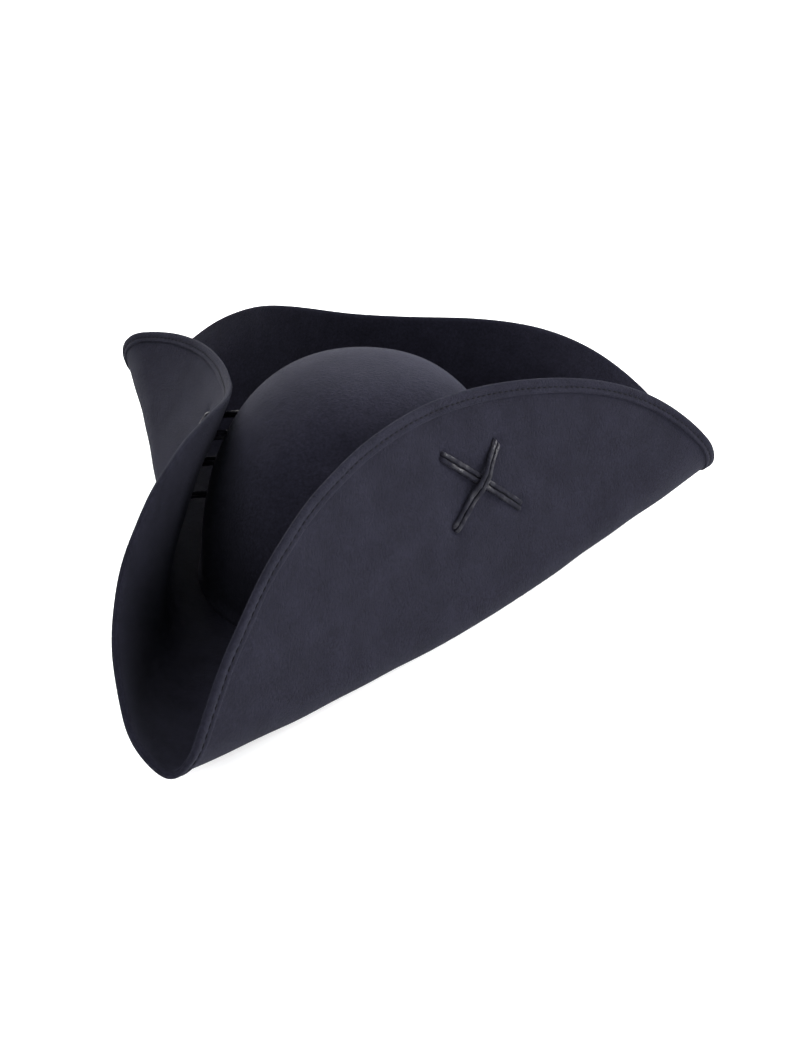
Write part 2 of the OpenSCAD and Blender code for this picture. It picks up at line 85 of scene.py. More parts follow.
# laces: the middle of each, out and along on its flap, and its four holes from
# there: the under arm's two ends, then the over arm's two ends
LACES = {"right": (RIGHT, (168.7, 1)), "left": (LEFT, (164.9, 31))}
ARM_HOLES = ((20, -24), (-20, 28), (15, 20), (-15, -26))
LACE_D = 2.6
PAIR_HALF = LACE_D / 2 + 0.2
LACE_OFF = MID + 0.1 + LACE_D / 2                # a strand on the flap, off the felt's middle
LACE_OVER = LACE_OFF + LACE_D + 0.3              # a strand over another
WALL_OFF = FELT + 0.25 + LACE_D / 2              # a strand inside the crown, in from its outer face
WALL_OVER = WALL_OFF + LACE_D + 0.5
CORD = (2.75, 2.1)                               # the cord's width and thickness, a little flattened
KNOT_HALF = 1.15                                 # half the cord's thickness where the knot pulls it tight
CROSSING = 0.44                                  # where the arms cross, as a share of the over arm
TAIL = 10                                        # loose end beyond the knot

HEM_W = 7.6                                      # width of the turned hem
WIRE_IN = 1.84                                   # the wire's middle, in from the edge
WIRE_OFF = -0.84                                 # and off the felt's middle
WIRE_HALF = 0.6                                  # half the wire's thickness
STITCH_IN = 4.6                                  # the hem's row of stitches, in from the edge
STITCH_STEP = 4.4                                # from one stitch to the next
SEAM_AT = 205                                    # heading of the sweatband's lapped seam
BAND_STITCHES = 150


# ---------------------------------------------------------------- camera, light
def look_from(azimuth, elevation, distance, aim):
    """A camera that looks at aim from that azimuth (0 is the front) and elevation."""
    a, e = math.radians(azimuth), math.radians(elevation)
    back = Vector((math.sin(a) * math.cos(e), -math.cos(a) * math.cos(e), math.sin(e)))
    camera = bpy.data.objects.new("camera", bpy.data.cameras.new("camera"))
    camera.location = aim + back * distance
    camera.rotation_euler = back.to_track_quat("Z", "Y").to_euler()
    bpy.context.scene.collection.objects.link(camera)
    return camera


camera = look_from(18.0, 26.15, 0.875, Vector((0, 0, 0.051)))
camera.data.sensor_width = 36
camera.data.lens = 52.89
camera.data.shift_x = 0.0394
camera.data.shift_y = -0.0360
camera.data.clip_end = 60
bpy.context.scene.camera = camera


def sun(name, azimuth, elevation, strength, spread):
    """A soft sun that shines from that direction, spread wide like a softbox."""
    light = bpy.data.lights.new(name, "SUN")
    light.energy = strength
    light.angle = math.radians(spread)
    lamp = bpy.data.objects.new(name, light)
    a, e = math.radians(azimuth), math.radians(elevation)
    away = Vector((math.sin(a) * math.cos(e), -math.cos(a) * math.cos(e), math.sin(e)))
    lamp.rotation_euler = away.to_track_quat("Z", "Y").to_euler()
    bpy.context.scene.collection.objects.link(lamp)


sun("back_right", 130, 16, 3.9, 24)
sun("back_left", 215, 20, 4.0, 35)
sun("left_high", 255, 55, 0.4, 45)
sun("top", 300, 78, 3.0, 40)
sun("front", 10, 14, 0.5, 50)

softbox = bpy.data.objects.new("softbox", bpy.data.lights.new("softbox", "AREA"))
softbox.data.size = 0.35
softbox.data.energy = 2.9
softbox.location = (0.56, -0.22, 0.30)
lit_from = Vector(softbox.location) - Vector((0.13, -0.02, 0.06))
softbox.rotation_euler = lit_from.to_track_quat("Z", "Y").to_euler()
softbox.visible_camera = False
bpy.context.scene.collection.objects.link(softbox)

world = bpy.data.worlds.new("studio")
world.use_nodes = True
world.node_tree.nodes["Background"].inputs["Color"].default_value = (0.93, 0.95, 1.0, 1)
world.node_tree.nodes["Background"].inputs["Strength"].default_value = 0.32
bpy.context.scene.world = world
bpy.context.scene.view_settings.view_transform = "Standard"


# ---------------------------------------------------------------- materials
class Surface:
    """A Principled material and short calls that add nodes to it."""

    def __init__(self, name, colour, roughness, **sockets):
        self.material = bpy.data.materials.new(name)
        self.material.use_nodes = True
        self.tree = self.material.node_tree
        self.shader = self.tree.nodes["Principled BSDF"]
        self.set("Base Color", (*colour, 1))
        self.set("Roughness", roughness)
        for socket, value in sockets.items():
            self.set(socket.replace("_", " "), value)
        self.place = self.add("ShaderNodeTexCoord").outputs["Object"]

    def set(self, socket, value):
        self.shader.inputs[socket].default_value = value

    def add(self, kind, **settings):
        node = self.tree.nodes.new(kind)
        for key, value in settings.items():
            setattr(node, key, value)
        return node

    def link(self, out, socket):
        self.tree.links.new(out, socket)

    def noise(self, scale, detail=3.0, roughness=0.6, stretch=None):
        """Noise in object space, scale in features per metre."""
        node = self.add("ShaderNodeTexNoise")
        node.inputs["Scale"].default_value = scale
        node.inputs["Detail"].default_value = detail
        node.inputs["Roughness"].default_value = roughness
        place = self.place
        if stretch:
            mapping = self.add("ShaderNodeMapping")
            mapping.inputs["Scale"].default_value = stretch
            self.link(place, mapping.inputs["Vector"])
            place = mapping.outputs["Vector"]
        self.link(place, node.inputs["Vector"])
        return node.outputs["Fac"]

    def ramp(self, factor, stops):
        """Colours or greys along a factor, from (place, colour) pairs."""
        node = self.add("ShaderNodeValToRGB")
        band = node.color_ramp
        while len(band.elements) < len(stops):
            band.elements.new(0.5)
        for element, (place, colour) in zip(band.elements, stops):
            element.position = place
            element.color = (*colour, 1) if isinstance(colour, tuple) else (colour, colour, colour, 1)
        self.link(factor, node.inputs["Fac"])
        return node.outputs["Color"]

    def mix(self, a, b, factor, kind="MIX"):
        node = self.add("ShaderNodeMix", data_type="RGBA", blend_type=kind)
        for value, socket in ((factor, node.inputs[0]), (a, node.inputs[6]), (b, node.inputs[7])):
            if isinstance(value, (int, float)):
                socket.default_value = value
            elif isinstance(value, tuple):
                socket.default_value = (*value, 1)
            else:
                self.link(value, socket)
        return node.outputs[2]

    def maths(self, operation, a, b=None):
        node = self.add("ShaderNodeMath", operation=operation)
        for value, socket in zip((a, b), node.inputs):
            if value is None:
                continue
            if isinstance(value, (int, float)):
                socket.default_value = value
            else:
                self.link(value, socket)
        return node.outputs[0]

    def bumps(self, *layers):
        """Bump layers of (height, strength, distance), the first one lowest."""
        under = None
        for height, strength, distance in layers:
            node = self.add("ShaderNodeBump")
            node.inputs["Strength"].default_value = strength
            node.inputs["Distance"].default_value = distance
            self.link(height, node.inputs["Height"])
            if under:
                self.link(under, node.inputs["Normal"])
            under = node.outputs["Normal"]
        self.link(under, self.shader.inputs["Normal"])


def felt_material(name, dark, light, sheen):
    """Pressed felt: matted fibres, faint clouding, and a soft nap."""
    s = Surface(name, light, 0.95, Sheen_Weight=sheen, Sheen_Roughness=0.45, Specular_IOR_Level=0.05)
    s.set("Sheen Tint", (0.74, 0.78, 1.0, 1))
    clouds = s.noise(55, 4, 0.6)
    mat = s.noise(620, 5, 0.75)
    fibre = s.noise(1500, 4, 0.8, stretch=(1.0, 1.0, 0.35))
    cross = s.noise(1500, 4, 0.8, stretch=(0.35, 1.0, 1.0))
    fibres = s.mix(fibre, cross, 0.5, "LIGHTEN")
    clouded = s.ramp(clouds, ((0.3, dark), (0.7, light)))
    tone = s.mix(clouded, s.ramp(mat, ((0.30, 0.45), (0.70, 1.60))), 0.75, "MULTIPLY")
    lint = s.ramp(fibres, ((0.66, 0.0), (0.80, 1.0)))
    linted = s.mix(tone, tuple(c * 1.9 for c in light), s.maths("MULTIPLY", lint, 0.35))
    s.link(linted, s.shader.inputs["Base Color"])
    s.link(s.ramp(mat, ((0.3, 0.86), (0.7, 1.0))), s.shader.inputs["Roughness"])
    s.bumps((clouds, 0.25, 0.0012), (mat, 0.8, 0.0010), (fibres, 0.6, 0.0004))
    return s.material


def leather_material(name):
    """Glossy imitation leather cord, finely creased and a little worn in patches."""
    s = Surface(name, (0.010, 0.010, 0.015), 0.5, Specular_IOR_Level=0.13)
    creases = s.noise(420, 5, 0.65)
    worn = s.noise(85, 2, 0.5)
    grain = s.add("ShaderNodeTexVoronoi", feature="DISTANCE_TO_EDGE")
    grain.inputs["Scale"].default_value = 1500
    s.link(s.place, grain.inputs["Vector"])
    tone = s.ramp(creases, ((0.35, (0.004, 0.004, 0.007)), (0.72, (0.010, 0.010, 0.017))))
    s.link(tone, s.shader.inputs["Base Color"])
    s.link(s.ramp(worn, ((0.44, 0.28), (0.58, 0.95))), s.shader.inputs["Roughness"])
    pores = s.ramp(grain.outputs["Distance"], ((0.0, 0.0), (0.12, 1.0)))
    s.bumps((worn, 0.4, 0.0020), (creases, 0.6, 0.0008), (pores, 0.2, 0.00010))
    return s.material


def thread_material(name, colour):
    """Twisted sewing thread."""
    s = Surface(name, colour, 0.85, Sheen_Weight=0.01, Sheen_Roughness=0.4, Specular_IOR_Level=0.08)
    twist = s.noise(3200, 3, 0.6)
    s.link(s.ramp(twist, ((0.3, tuple(c * 0.55 for c in colour)), (0.7, tuple(c * 1.4 for c in colour)))),
           s.shader.inputs["Base Color"])
    s.bumps((twist, 0.6, 0.00012))
    return s.material


def ribbon_material(name, colour, ribs):
    """Ribbed ribbon that runs round the head: fine upright ribs and a fine weave all over."""
    s = Surface(name, colour, 0.62, Sheen_Weight=0.2, Sheen_Roughness=0.35)
    axes = s.add("ShaderNodeSeparateXYZ")
    s.link(s.place, axes.inputs[0])
    turn = s.maths("ARCTAN2", axes.outputs["X"], axes.outputs["Y"])
    rib = s.maths("SINE", s.maths("MULTIPLY", turn, float(ribs)))
    weave = s.noise(2600, 3, 0.6)
    # painted shade and highlight: the ribbon's colour is darkened in the grooves between the ribs and
    # lightened on their crests, following the ribs' bump, in place of the shade that light would give them
    painted_rib_shade = s.ramp(s.maths("MULTIPLY_ADD", rib, 0.5), ((0.0, 0.65), (1.0, 1.25)))
    rib_shade_painted = s.mix(colour, painted_rib_shade, 0.8, "MULTIPLY")
    woven = s.mix(rib_shade_painted, s.ramp(weave, ((0.3, 0.8), (0.7, 1.15))), 0.6, "MULTIPLY")
    s.link(woven, s.shader.inputs["Base Color"])
    s.bumps((rib, 0.45, 0.0003), (weave, 0.3, 0.0001))
    return s.material


def satin_material(name, colour):
    """Woven satin label."""
    s = Surface(name, colour, 0.38, Sheen_Weight=0.1, Anisotropic=0.4)
    weave = s.noise(3000, 2, 0.5, stretch=(0.15, 0.15, 1.0))
    tone = s.ramp(weave, ((0.3, tuple(c * 0.9 for c in colour)), (0.7, colour)))
    s.link(tone, s.shader.inputs["Base Color"])
    s.bumps((weave, 0.3, 0.00008))
    return s.material


def steel_material(name, colour, roughness):
    """Drawn or crimped metal, with fine draw marks."""
    s = Surface(name, colour, roughness, Metallic=1.0)
    marks = s.noise(1800, 3, 0.6, stretch=(1, 1, 0.2))
    s.link(s.ramp(marks, ((0.3, roughness * 0.7), (0.7, roughness * 1.3))), s.shader.inputs["Roughness"])
    s.bumps((marks, 0.2, 0.00005))
    return s.material


def floor_material():
    """Pale studio paper."""
    s = Surface("studio_paper", (0.93, 0.93, 0.935), 0.85, Emission_Strength=0.35)
    s.set("Emission Color", (1, 1, 1, 1))
    grain = s.noise(90, 4, 0.6)
    tone = s.ramp(grain, ((0.3, (0.925, 0.925, 0.93)), (0.7, (0.94, 0.94, 0.945))))
    s.link(tone, s.shader.inputs["Base Color"])
    return s.material


FELT_LOOK = felt_material("felt", (0.0069, 0.0068, 0.0116), (0.0101, 0.0099, 0.0166), 0.03)
# the crown's felt is the same felt as the brim's, painted about two fifths lighter: painted light that stands
# in for the light on the crown that the lamps fall short of
CROWN_FELT_PAINTED_LIGHTER = felt_material("crown_felt", (0.0098, 0.0096, 0.0162), (0.0140, 0.0137, 0.0222), 0.05)
HEM_LOOK = felt_material("hem_felt", (0.0076, 0.0075, 0.0126), (0.0110, 0.0108, 0.0178), 0.035)
LACE_LOOK = leather_material("lace_leather")
THREAD_LOOK = thread_material("thread", (0.0050, 0.0050, 0.0075))
BAND_LOOK = ribbon_material("grosgrain", (0.012, 0.012, 0.015), 330)
TAPE_LOOK = ribbon_material("cotton_tape", (0.016, 0.016, 0.018), 420)
LABEL_LOOK = satin_material("label_satin", (0.82, 0.81, 0.78))
WIRE_LOOK = steel_material("drawn_wire", (0.50, 0.51, 0.53), 0.35)
SLEEVE_LOOK = steel_material("crimped_sleeve", (0.60, 0.61, 0.63), 0.4)


# ---------------------------------------------------------------- folded felt
def heading(a):
    a = np.radians(a)
    return np.stack([np.sin(a), -np.cos(a)], -1)


def heading_of(p):
    return np.degrees(np.arctan2(p[..., 0], -p[..., 1]))


def oval(psi, a, b):
    psi = np.radians(psi)
    return 1 / np.sqrt((np.sin(psi) / a) ** 2 + (np.cos(psi) / b) ** 2)


def smooth(x, low, high):
    """0 below low, 1 above high, and a smooth rise between."""
    t = np.clip((x - low) / (high - low), 0, 1)
    return t * t * (3 - 2 * t)


def reach(psi):
    """Reach of the flat blank at heading psi: a smooth curve through twelve reaches."""
    total = 0
    for j, width in enumerate(BRIM_W):
        r = width + oval(30.0 * j, HALF_W, HALF_L)
        x = np.radians(np.asarray(psi, float) - 30 * j)
        near = np.abs(np.sin(x / 2)) < 1e-6
        total = total + r * np.where(near, 1.0, np.sin(6 * x) / (12 * np.tan(np.where(near, 1.0, x / 2))))
    return total


def bent(u, t, flap):
    """How far one flap draws a point in and lifts it, at u out and t along."""
    _, _, fold, fold2, bend0, bend1, bend2, lift0, lift1, lift2 = flap
    q = t / FOLD_HALF
    bend = np.maximum(bend0 + bend1 * q + bend2 * q * q, 3)
    lift = np.radians(np.maximum(lift0 + lift1 * q + lift2 * q * q, 5))
    s = np.maximum(u - (fold + fold2 * q * q), 0)
    turn = np.minimum(s / bend, lift)
    rest = np.maximum(s - bend * lift, 0)
    return bend * np.sin(turn) + rest * np.cos(lift) - s, bend * (1 - np.cos(turn)) + rest * np.sin(lift)


def brim_mid(p):
    """The middle of the felt at flat points p."""
    rho = np.hypot(p[..., 0], p[..., 1])
    rise = DISH * np.maximum(rho - oval(heading_of(p), HALF_W, HALF_L), 0)
    xy = p.astype(float).copy()
    lifted = 0
    for flap in FLAPS:
        n = heading(flap[0])
        drawn, up = bent(p @ n, p @ heading(flap[0] + 90) * flap[1], flap)
        xy = xy + drawn[..., None] * n
        lifted = lifted + np.maximum(up, 0) ** MERGE
    return np.concatenate([xy, (MID + rise + lifted ** (1 / MERGE))[..., None]], -1)


def unit(v):
    return v / np.linalg.norm(v, axis=-1, keepdims=True)


def brim_normal(p, probe=0.5):
    """Square to the felt, towards the crown's side."""
    dx, dy = np.array([probe, 0]), np.array([0, probe])
    return unit(np.cross(brim_mid(p + dx) - brim_mid(p - dx), brim_mid(p + dy) - brim_mid(p - dy)))


def on_flap(flap, out, along):
    return out * heading(flap[0]) + along * flap[1] * heading(flap[0] + 90)


HOLES = [on_flap(flap, c[0] + h[0], c[1] + h[1]) for flap, c in LACES.values() for h in ARM_HOLES]


def hand_made(p):
    """Small waviness of the worked felt, and its pull towards the lace holes."""
    x, y = p[..., 0], p[..., 1]
    free = smooth(np.hypot(x, y) - oval(heading_of(p), HALF_W, HALF_L), 4, 40)
    wave = (0.34 * np.sin(0.047 * x + 0.021 * y + 0.7) + 0.30 * np.sin(0.033 * y - 0.052 * x + 2.1)
            + 0.16 * np.sin(0.111 * x + 0.083 * y + 4.0) + 0.14 * np.sin(0.097 * y - 0.126 * x + 1.2))
    total = wave * free
    for hole in HOLES:
        d2 = (x - hole[0]) ** 2 + (y - hole[1]) ** 2
        total = total + 1.5 * np.exp(-d2 / 11.0) + 0.5 * np.exp(-d2 / 90.0)
    return total


def brim_off(p, n):
    """A point off the felt's middle by n, towards the crown's side, on the worked felt."""
    return brim_mid(p) + (n + hand_made(p))[..., None] * brim_normal(p)


def crown_wall(psi, w, d):
    """The crown's surface drawn in by d, at heading psi and rise w, in degrees."""
    e = 2 / FULL
    level = np.sin(np.radians(w)) ** e
    out = oval(psi, HALF_W - d, HALF_L - d) * np.maximum(np.cos(np.radians(w)), 0) ** e
    return np.concatenate([out[..., None] * heading(psi), (MID + (CROWN_H - d) * level)[..., None]], -1)


# ---------------------------------------------------------------- mesh helpers
def add_mesh(name, points, faces, look, slot, *nodes):
    """A smooth mesh piece, from points in millimetres, that stands for CAD nodes."""
    mesh = bpy.data.meshes.new(name)
    mesh.from_pydata((np.asarray(points) * MM).tolist(), [], faces)
    mesh.validate()
    mesh.shade_smooth()
    piece = bpy.data.objects.new(name, mesh)
    bpy.context.scene.collection.objects.link(piece)
    mesh.materials.append(look)
    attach(piece, "root")
    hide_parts(*nodes)
    return piece


def quads(n, k, closed):
    """Faces between n rings of k points, facing out of rings that run anticlockwise
    seen from the last; closed joins the last ring to the first."""
    i, j = np.meshgrid(np.arange(n if closed else n - 1), np.arange(k), indexing="ij")
    a, b = i * k + j, i * k + (j + 1) % k
    c, d = (i + 1) % n * k + (j + 1) % k, (i + 1) % n * k + j
    return np.stack([a, b, c, d], -1).reshape(-1, 4).tolist()


def rod_faces(n, k):
    return quads(n, k, False) + [list(range(k))[::-1], [(n - 1) * k + j for j in range(k)]]


def moved(faces, step):
    return [[v + step for v in f] for f in faces]


def rod(mids, side, out, wide, thick, sides):
    """Rings of a rod: ovals round mids that reach wide to the side and thick outwards."""
    a = np.radians(np.arange(sides) * 360 / sides)
    wide, thick = np.broadcast_to(wide, len(mids)), np.broadcast_to(thick, len(mids))
    return (mids[:, None] + (wide[:, None] * np.cos(a))[..., None] * side[:, None]
            - (thick[:, None] * np.sin(a))[..., None] * out[:, None])


def stitch(mids, out, half, wide):
    """A round-ended stitch along mids: half its thickness, and its width over that."""
    side = np.cross(unit(np.gradient(mids, axis=0)), out)
    r = half * np.sqrt(np.maximum(1 - np.linspace(-0.97, 0.97, len(mids)) ** 4, 0.02))
    return rod(mids, side, out, r * wide, r, 8)


def joined(rods):
    """Points and faces of many rods with closed ends."""
    points, faces = [], []
    for rings in rods:
        faces += moved(rod_faces(*rings.shape[:2]), len(points))
        points += rings.reshape(-1, 3).tolist()
    return points, faces


# ---------------------------------------------------------------- felt pieces
def headings(count):
    """Headings round the hat, closer together at its three tips."""
    t = np.arange(count) * 360.0 / count
    return t - 0.5 * np.degrees(np.sin(np.radians(3 * t))) / 3


COLUMNS = 480
ACROSS = 88


def make_brim():
    """The brim: both faces of the felt, and its edge rolled over the wire."""
    psi = headings(COLUMNS)
    near = oval(psi, band_high[0] + 0.1, band_high[1] + 0.1)
    base = oval(psi, HALF_W, HALF_L)
    far = reach(psi)
    shares = (np.arange(ACROSS + 1) / ACROSS) ** 1.1
    rows = [(near, MID)] + [(base + (far - 3.0 - base) * s, MID) for s in shares]
    rows += [(far - r, n) for r, n in ((2.2, 0.97), (1.5, 0.86), (0.9, 0.62), (0.5, 0.28), (0.26, -0.12),
                                       (0.24, -0.5), (0.6, -0.8), (1.4, -0.98))]
    rows += [(base + (far - 3.0 - base) * s, -MID) for s in shares[::-2]] + [(near, -MID)]
    flat = np.stack([heading(psi) * r[:, None] for r, _ in rows], 1)
    off = np.stack([np.full(COLUMNS, n) for _, n in rows], 1)
    points = brim_off(flat, off)
    faces = quads(COLUMNS, len(rows), True)
    return add_mesh("brim", points.reshape(-1, 3), faces, FELT_LOOK, "felt", "brim_felt")


def make_hem():
    """The hem turned down the outer side: a roll over the wire, a stitched groove
    and a second, flatter ridge down to the cut edge."""
    section = ((0.12, -0.42), (0.0, -0.75), (0.02, -1.15), (0.2, -1.6), (0.6, -2.05), (1.2, -2.36),
               (1.9, -2.46), (2.6, -2.42), (3.3, -2.26), (3.9, -2.04), (4.3, -1.84), (STITCH_IN, -1.76),
               (4.9, -1.84), (5.3, -2.02), (5.9, -2.2), (6.6, -2.24), (7.1, -2.14), (7.45, -1.9),
               (HEM_W, -1.55), (7.55, -1.2), (7.2, -1.02), (5.5, -1.0), (3.5, -1.0), (1.8, -1.0),
               (0.9, -0.9), (0.4, -0.62))
    psi = headings(COLUMNS)
    far = reach(psi)
    flat = np.stack([heading(psi) * (far - r)[:, None] for r, _ in section], 1)
    ripple = 0.06 * np.sin(np.radians(psi * 37)) + 0.05 * np.sin(np.radians(psi * 61 + 40))
    off = np.stack([np.full(COLUMNS, n) + (ripple if 2 < r < 8 and n < -1.3 else 0) for r, n in section], 1)
    points = brim_off(flat, off)
    faces = quads(COLUMNS, len(section), True)
    return add_mesh("hem", points.reshape(-1, 3), faces, HEM_LOOK, "felt", "hem_fold")


def make_wire():
    """The steel wire in the hem, its two ends nearly meeting inside the sleeve."""
    psi = 180 + np.linspace(0.2, 359.8, 1441)
    flat = heading(psi) * (reach(psi) - WIRE_IN)[:, None]
    line = brim_off(flat, np.full(len(psi), WIRE_OFF))
    along = unit(np.gradient(line, axis=0))
    out = brim_normal(flat)
    out = unit(out - along * (out * along).sum(-1, keepdims=True))
    rings = rod(line, np.cross(along, out), out, WIRE_HALF, WIRE_HALF, 10)
    return add_mesh("wire", *joined([rings]), WIRE_LOOK, "wire", "brim_wire")


def make_hem_stitches():
    """The row of stitches in the hem's groove."""
    psi = np.linspace(0, 360, 4001)
    line = brim_off(heading(psi) * (reach(psi) - STITCH_IN)[:, None], np.full(len(psi), -2.0))
    run = np.concatenate([[0], np.cumsum(np.linalg.norm(np.diff(line, axis=0), axis=1))])
    count = int(run[-1] / STITCH_STEP)
    step = run[-1] / count
    rings = 7
    ends = np.linspace(-1, 1, rings)
    rods = []
    for i in range(count):
        heads = np.interp(((i + 0.5) * step + ends * 0.37 * step) % run[-1], run, psi)
        flat = heading(heads) * (reach(heads) - STITCH_IN)[:, None]
        mids = brim_off(flat, -2.02 + np.abs(ends) ** 3 * 0.35)
        rods.append(stitch(mids, -brim_normal(flat), 0.30, 1.15))
    return add_mesh("hem_stitches", *joined(rods), THREAD_LOOK, "thread", "hem_stitching")


def make_crown():
    """The blocked crown: both faces of the felt, softly uneven, set into the brim."""
    columns, rises = 288, 84
    psi = np.arange(columns) * 360.0 / columns
    w = 90 * (np.arange(rises) / rises) ** 1.15

    def face(d):
        p, r = np.meshgrid(psi, w)
        q = crown_wall(p, r, d)
        x, y, z = q[..., 0], q[..., 1], q[..., 2]
        dent = (0.30 * np.sin(0.061 * x + 0.038 * z + 0.5) + 0.26 * np.sin(0.055 * y - 0.049 * z + 1.9)
                + 0.14 * np.sin(0.118 * x - 0.097 * y + 3.0)) * smooth(z, 4, 30)
        foot = 2.2 * (1 - smooth(z, FELT, 9.0)) if d == 0 else 0 * z
        away = unit(np.stack([x / HALF_W ** 2, y / HALF_L ** 2, (z - MID) / CROWN_H ** 2], -1))
        q = q + away * dent[..., None]
        q[..., :2] += unit(q[..., :2]) * foot[..., None]
        q[..., 2] = np.maximum(q[..., 2], FELT + 0.02)
        return q

    outer, inner = face(0), face(FELT)
    count = columns * rises
    dented = outer[-1, :, 2].mean() - crown_wall(0.0, w[-1], 0)[2]
    tops = [[0, 0, crown_high[2] + dented], [0, 0, crown_high[2] - FELT]]
    wall = quads(rises, columns, False)
    last = count - columns
    nxt = (np.arange(columns) + 1) % columns
    faces = wall + [[v + count for v in f[::-1]] for f in wall]
    faces += [[last + i, last + nxt[i], 2 * count] for i in range(columns)]
    faces += [[count + last + nxt[i], count + last + i, 2 * count + 1] for i in range(columns)]
    faces += [[nxt[i], i, count + i, count + nxt[i]] for i in range(columns)]
    points = np.concatenate([outer.reshape(-1, 3), inner.reshape(-1, 3), tops])
    return add_mesh("crown", points, [[int(v) for v in f] for f in faces], CROWN_FELT_PAINTED_LIGHTER, "felt", "crown_felt")


# ---------------------------------------------------------------- head band
def make_sweatband():
    """The ribbon inside the opening: a soft bulge, a wavy top and a lapped seam beside the label."""
    columns, rows = 360, 14
    psi = SEAM_AT + np.arange(columns + 1) * 366.0 / columns - 3
    outer_w, outer_l = band_high[0], band_high[1]
    thick = 0.9
    lap = np.where(np.arange(columns + 1) > columns - 8, 0.95, 0.0)
    t = np.arange(rows + 1) / rows
    height = band_high[2] - band_low[2]
    wave = 0.5 * np.sin(np.radians(psi * 5 + 20)) + 0.35 * np.sin(np.radians(psi * 9))
    points = []
    for i, a in enumerate(psi):
        bulge = 0.5 * np.sin(np.pi * t) + 0.25 * np.sin(np.radians(a * 7)) * t
        z = band_low[2] + t * (height - 0.8 + wave[i])
        r = oval(a, outer_w, outer_l) - lap[i] - bulge * 0.6
        outside = np.concatenate([heading(a)[None] * r[:, None], z[:, None]], 1)
        inside = np.concatenate([heading(a)[None] * (r - thick)[:, None], z[:, None]], 1)
        points.append(np.concatenate([outside, inside[::-1]]))
    k = 2 * (rows + 1)
    faces = [f[::-1] for f in rod_faces(columns + 1, k)]
    return add_mesh("sweatband", np.concatenate(points), faces, BAND_LOOK, "band", "sweatband")


def make_band_stitches():
    """The row that holds the sweatband, just above its foot."""
    rings = 7
    ends = np.linspace(-1, 1, rings)
    up = np.tile([0.0, 0.0, 1.0], (rings, 1))
    rods = []
    for i in range(BAND_STITCHES):
        heads = (i + 0.5 + ends * 0.36) * 360 / BAND_STITCHES
        r = oval(heads, band_high[0], band_high[1]) - 1.28 + np.abs(ends) ** 3 * 0.3
        mids = np.concatenate([heading(heads) * r[:, None], np.full((rings, 1), 4.0)], 1)
        rods.append(stitch(mids, up, 0.28, 1.0))
    return add_mesh("sweatband_stitches", *joined(rods), THREAD_LOOK, "thread", "sweatband_stitching")


def make_label():
    """The blank satin label, sewn in at the back and curling a little off the band."""
    low, high = size_of("care_label")
    columns, rows = 24, 18
    turn = np.degrees((high[0] - low[0]) / 2 / HALF_W) * 0.98
    psi = 180 + np.linspace(-turn, turn, columns + 1)
    t = np.linspace(0, 1, rows + 1)
    lift = 0.25 + 0.9 * t ** 2
    a, up = np.meshgrid(psi, t)
    base = oval(a, band_high[0], band_high[1]) - 1.5 - lift[:, None] * (1 + 0.25 * np.sin(np.radians(a * 23)))
    z = low[2] + up * (high[2] - low[2])
    face = np.concatenate([heading(a) * base[..., None], z[..., None]], -1)
    back = np.concatenate([heading(a) * (base + 0.22)[..., None], z[..., None]], -1)
    rings = np.concatenate([face, back[:, ::-1]], 1)
    faces = rod_faces(rows + 1, 2 * (columns + 1))
    return add_mesh("care_label", rings.reshape(-1, 3), faces, LABEL_LOOK, "label", "care_label")


# ---------------------------------------------------------------- laces
def crown_level(p, d):
    """Under 1 inside the crown's surface drawn in by d."""
    side = (p[0] / (HALF_W - d)) ** 2 + (p[1] / (HALF_L - d)) ** 2
    return side ** (FULL / 2) + (max(p[2] - MID, 0) / (CROWN_H - d)) ** FULL


def meet(p, v, d, low, high):
    for _ in range(24):
        m = (low + high) / 2
        if crown_level(p + v * m, d) > 1:
            low = m
        else:
            high = m
    return (low + high) / 2


def on_wall(p, d):
    """p moved out from or in to the crown's axis, onto its surface drawn in by d."""
    c = np.array([0, 0, p[2] * 0.5])
    v = unit(p - c)
    return c + v * (160 - meet(c + v * 160, -v, d, 0, 159))


def into_hollow(p):
    """From a point at the crown's wall towards the crown's inside."""
    return -unit(np.array([p[0] / HALF_W ** 2, p[1] / HALF_L ** 2, max(p[2] - MID, 0) / CROWN_H ** 2]))


